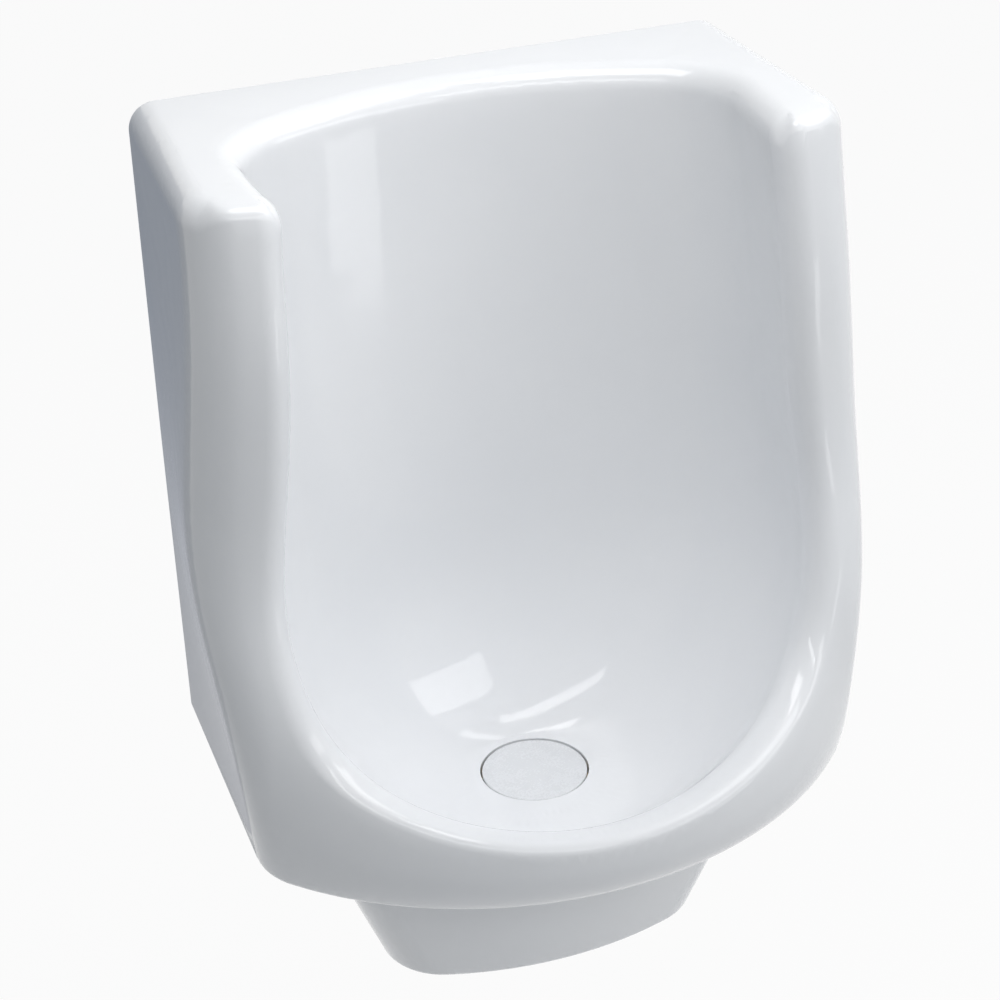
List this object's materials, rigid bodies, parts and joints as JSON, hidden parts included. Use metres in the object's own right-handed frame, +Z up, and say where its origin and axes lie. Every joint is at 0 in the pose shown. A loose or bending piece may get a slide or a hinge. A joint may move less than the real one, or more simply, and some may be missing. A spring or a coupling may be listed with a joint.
{
  "type": "waterless urinal",
  "caption": "Wall-hung white china waterless urinal: open alcove with rolled rim, round bowl, covered drain with a lift-out trap insert, and hidden wall hangers and outlet.",
  "frame": {"origin": "centre of the outlet pipe on the finished wall plane", "axes": "+Z up, +Y into the wall (the bowl faces -Y), +X to the right of someone who looks at the wall"},
  "size_m": [0.5064, 0.394, 0.66],
  "materials": {
    "china": "glossy white glaze",
    "cover": "satin white plastic",
    "insert": "moulded plastic",
    "seal": "black rubber",
    "flange": "machined brass",
    "housing": "dark moulded plastic",
    "pipe": "white plastic pipe",
    "nut": "black plastic",
    "wall_plate": "painted iron",
    "steel": "zinc-plated steel"
  },
  "bodies": {
    "urinal": {"china_body": "china", "drain_flange": "flange", "flange_gasket": "seal", "housing_gasket": "seal", "trap_housing": "housing", "slip_washer": "seal", "slip_nut": "nut", "outlet_pipe": "pipe", "wall_flange": "wall_plate", "wall_gasket": "seal", "flange_screws": "steel", "flange_washers": "steel", "left_hanger": "steel", "right_hanger": "steel"},
    "trap_insert": {"trap_lid": "insert", "trap_bell": "insert", "trap_cup": "insert", "upper_o_ring": "seal", "lower_o_ring": "seal"},
    "drain_cover": {"drain_cover": "cover"}
  },
  "joints": [
    {"name": "trap_lift", "type": "slide", "parent": "urinal", "child": "trap_insert", "axis": [0, 0, 1], "range_m": [0, 0.2]},
    {"name": "cover_lift", "type": "slide", "parent": "trap_insert", "child": "drain_cover", "axis": [0, 0, 1], "range_m": [0, 0.12]}
  ]
}
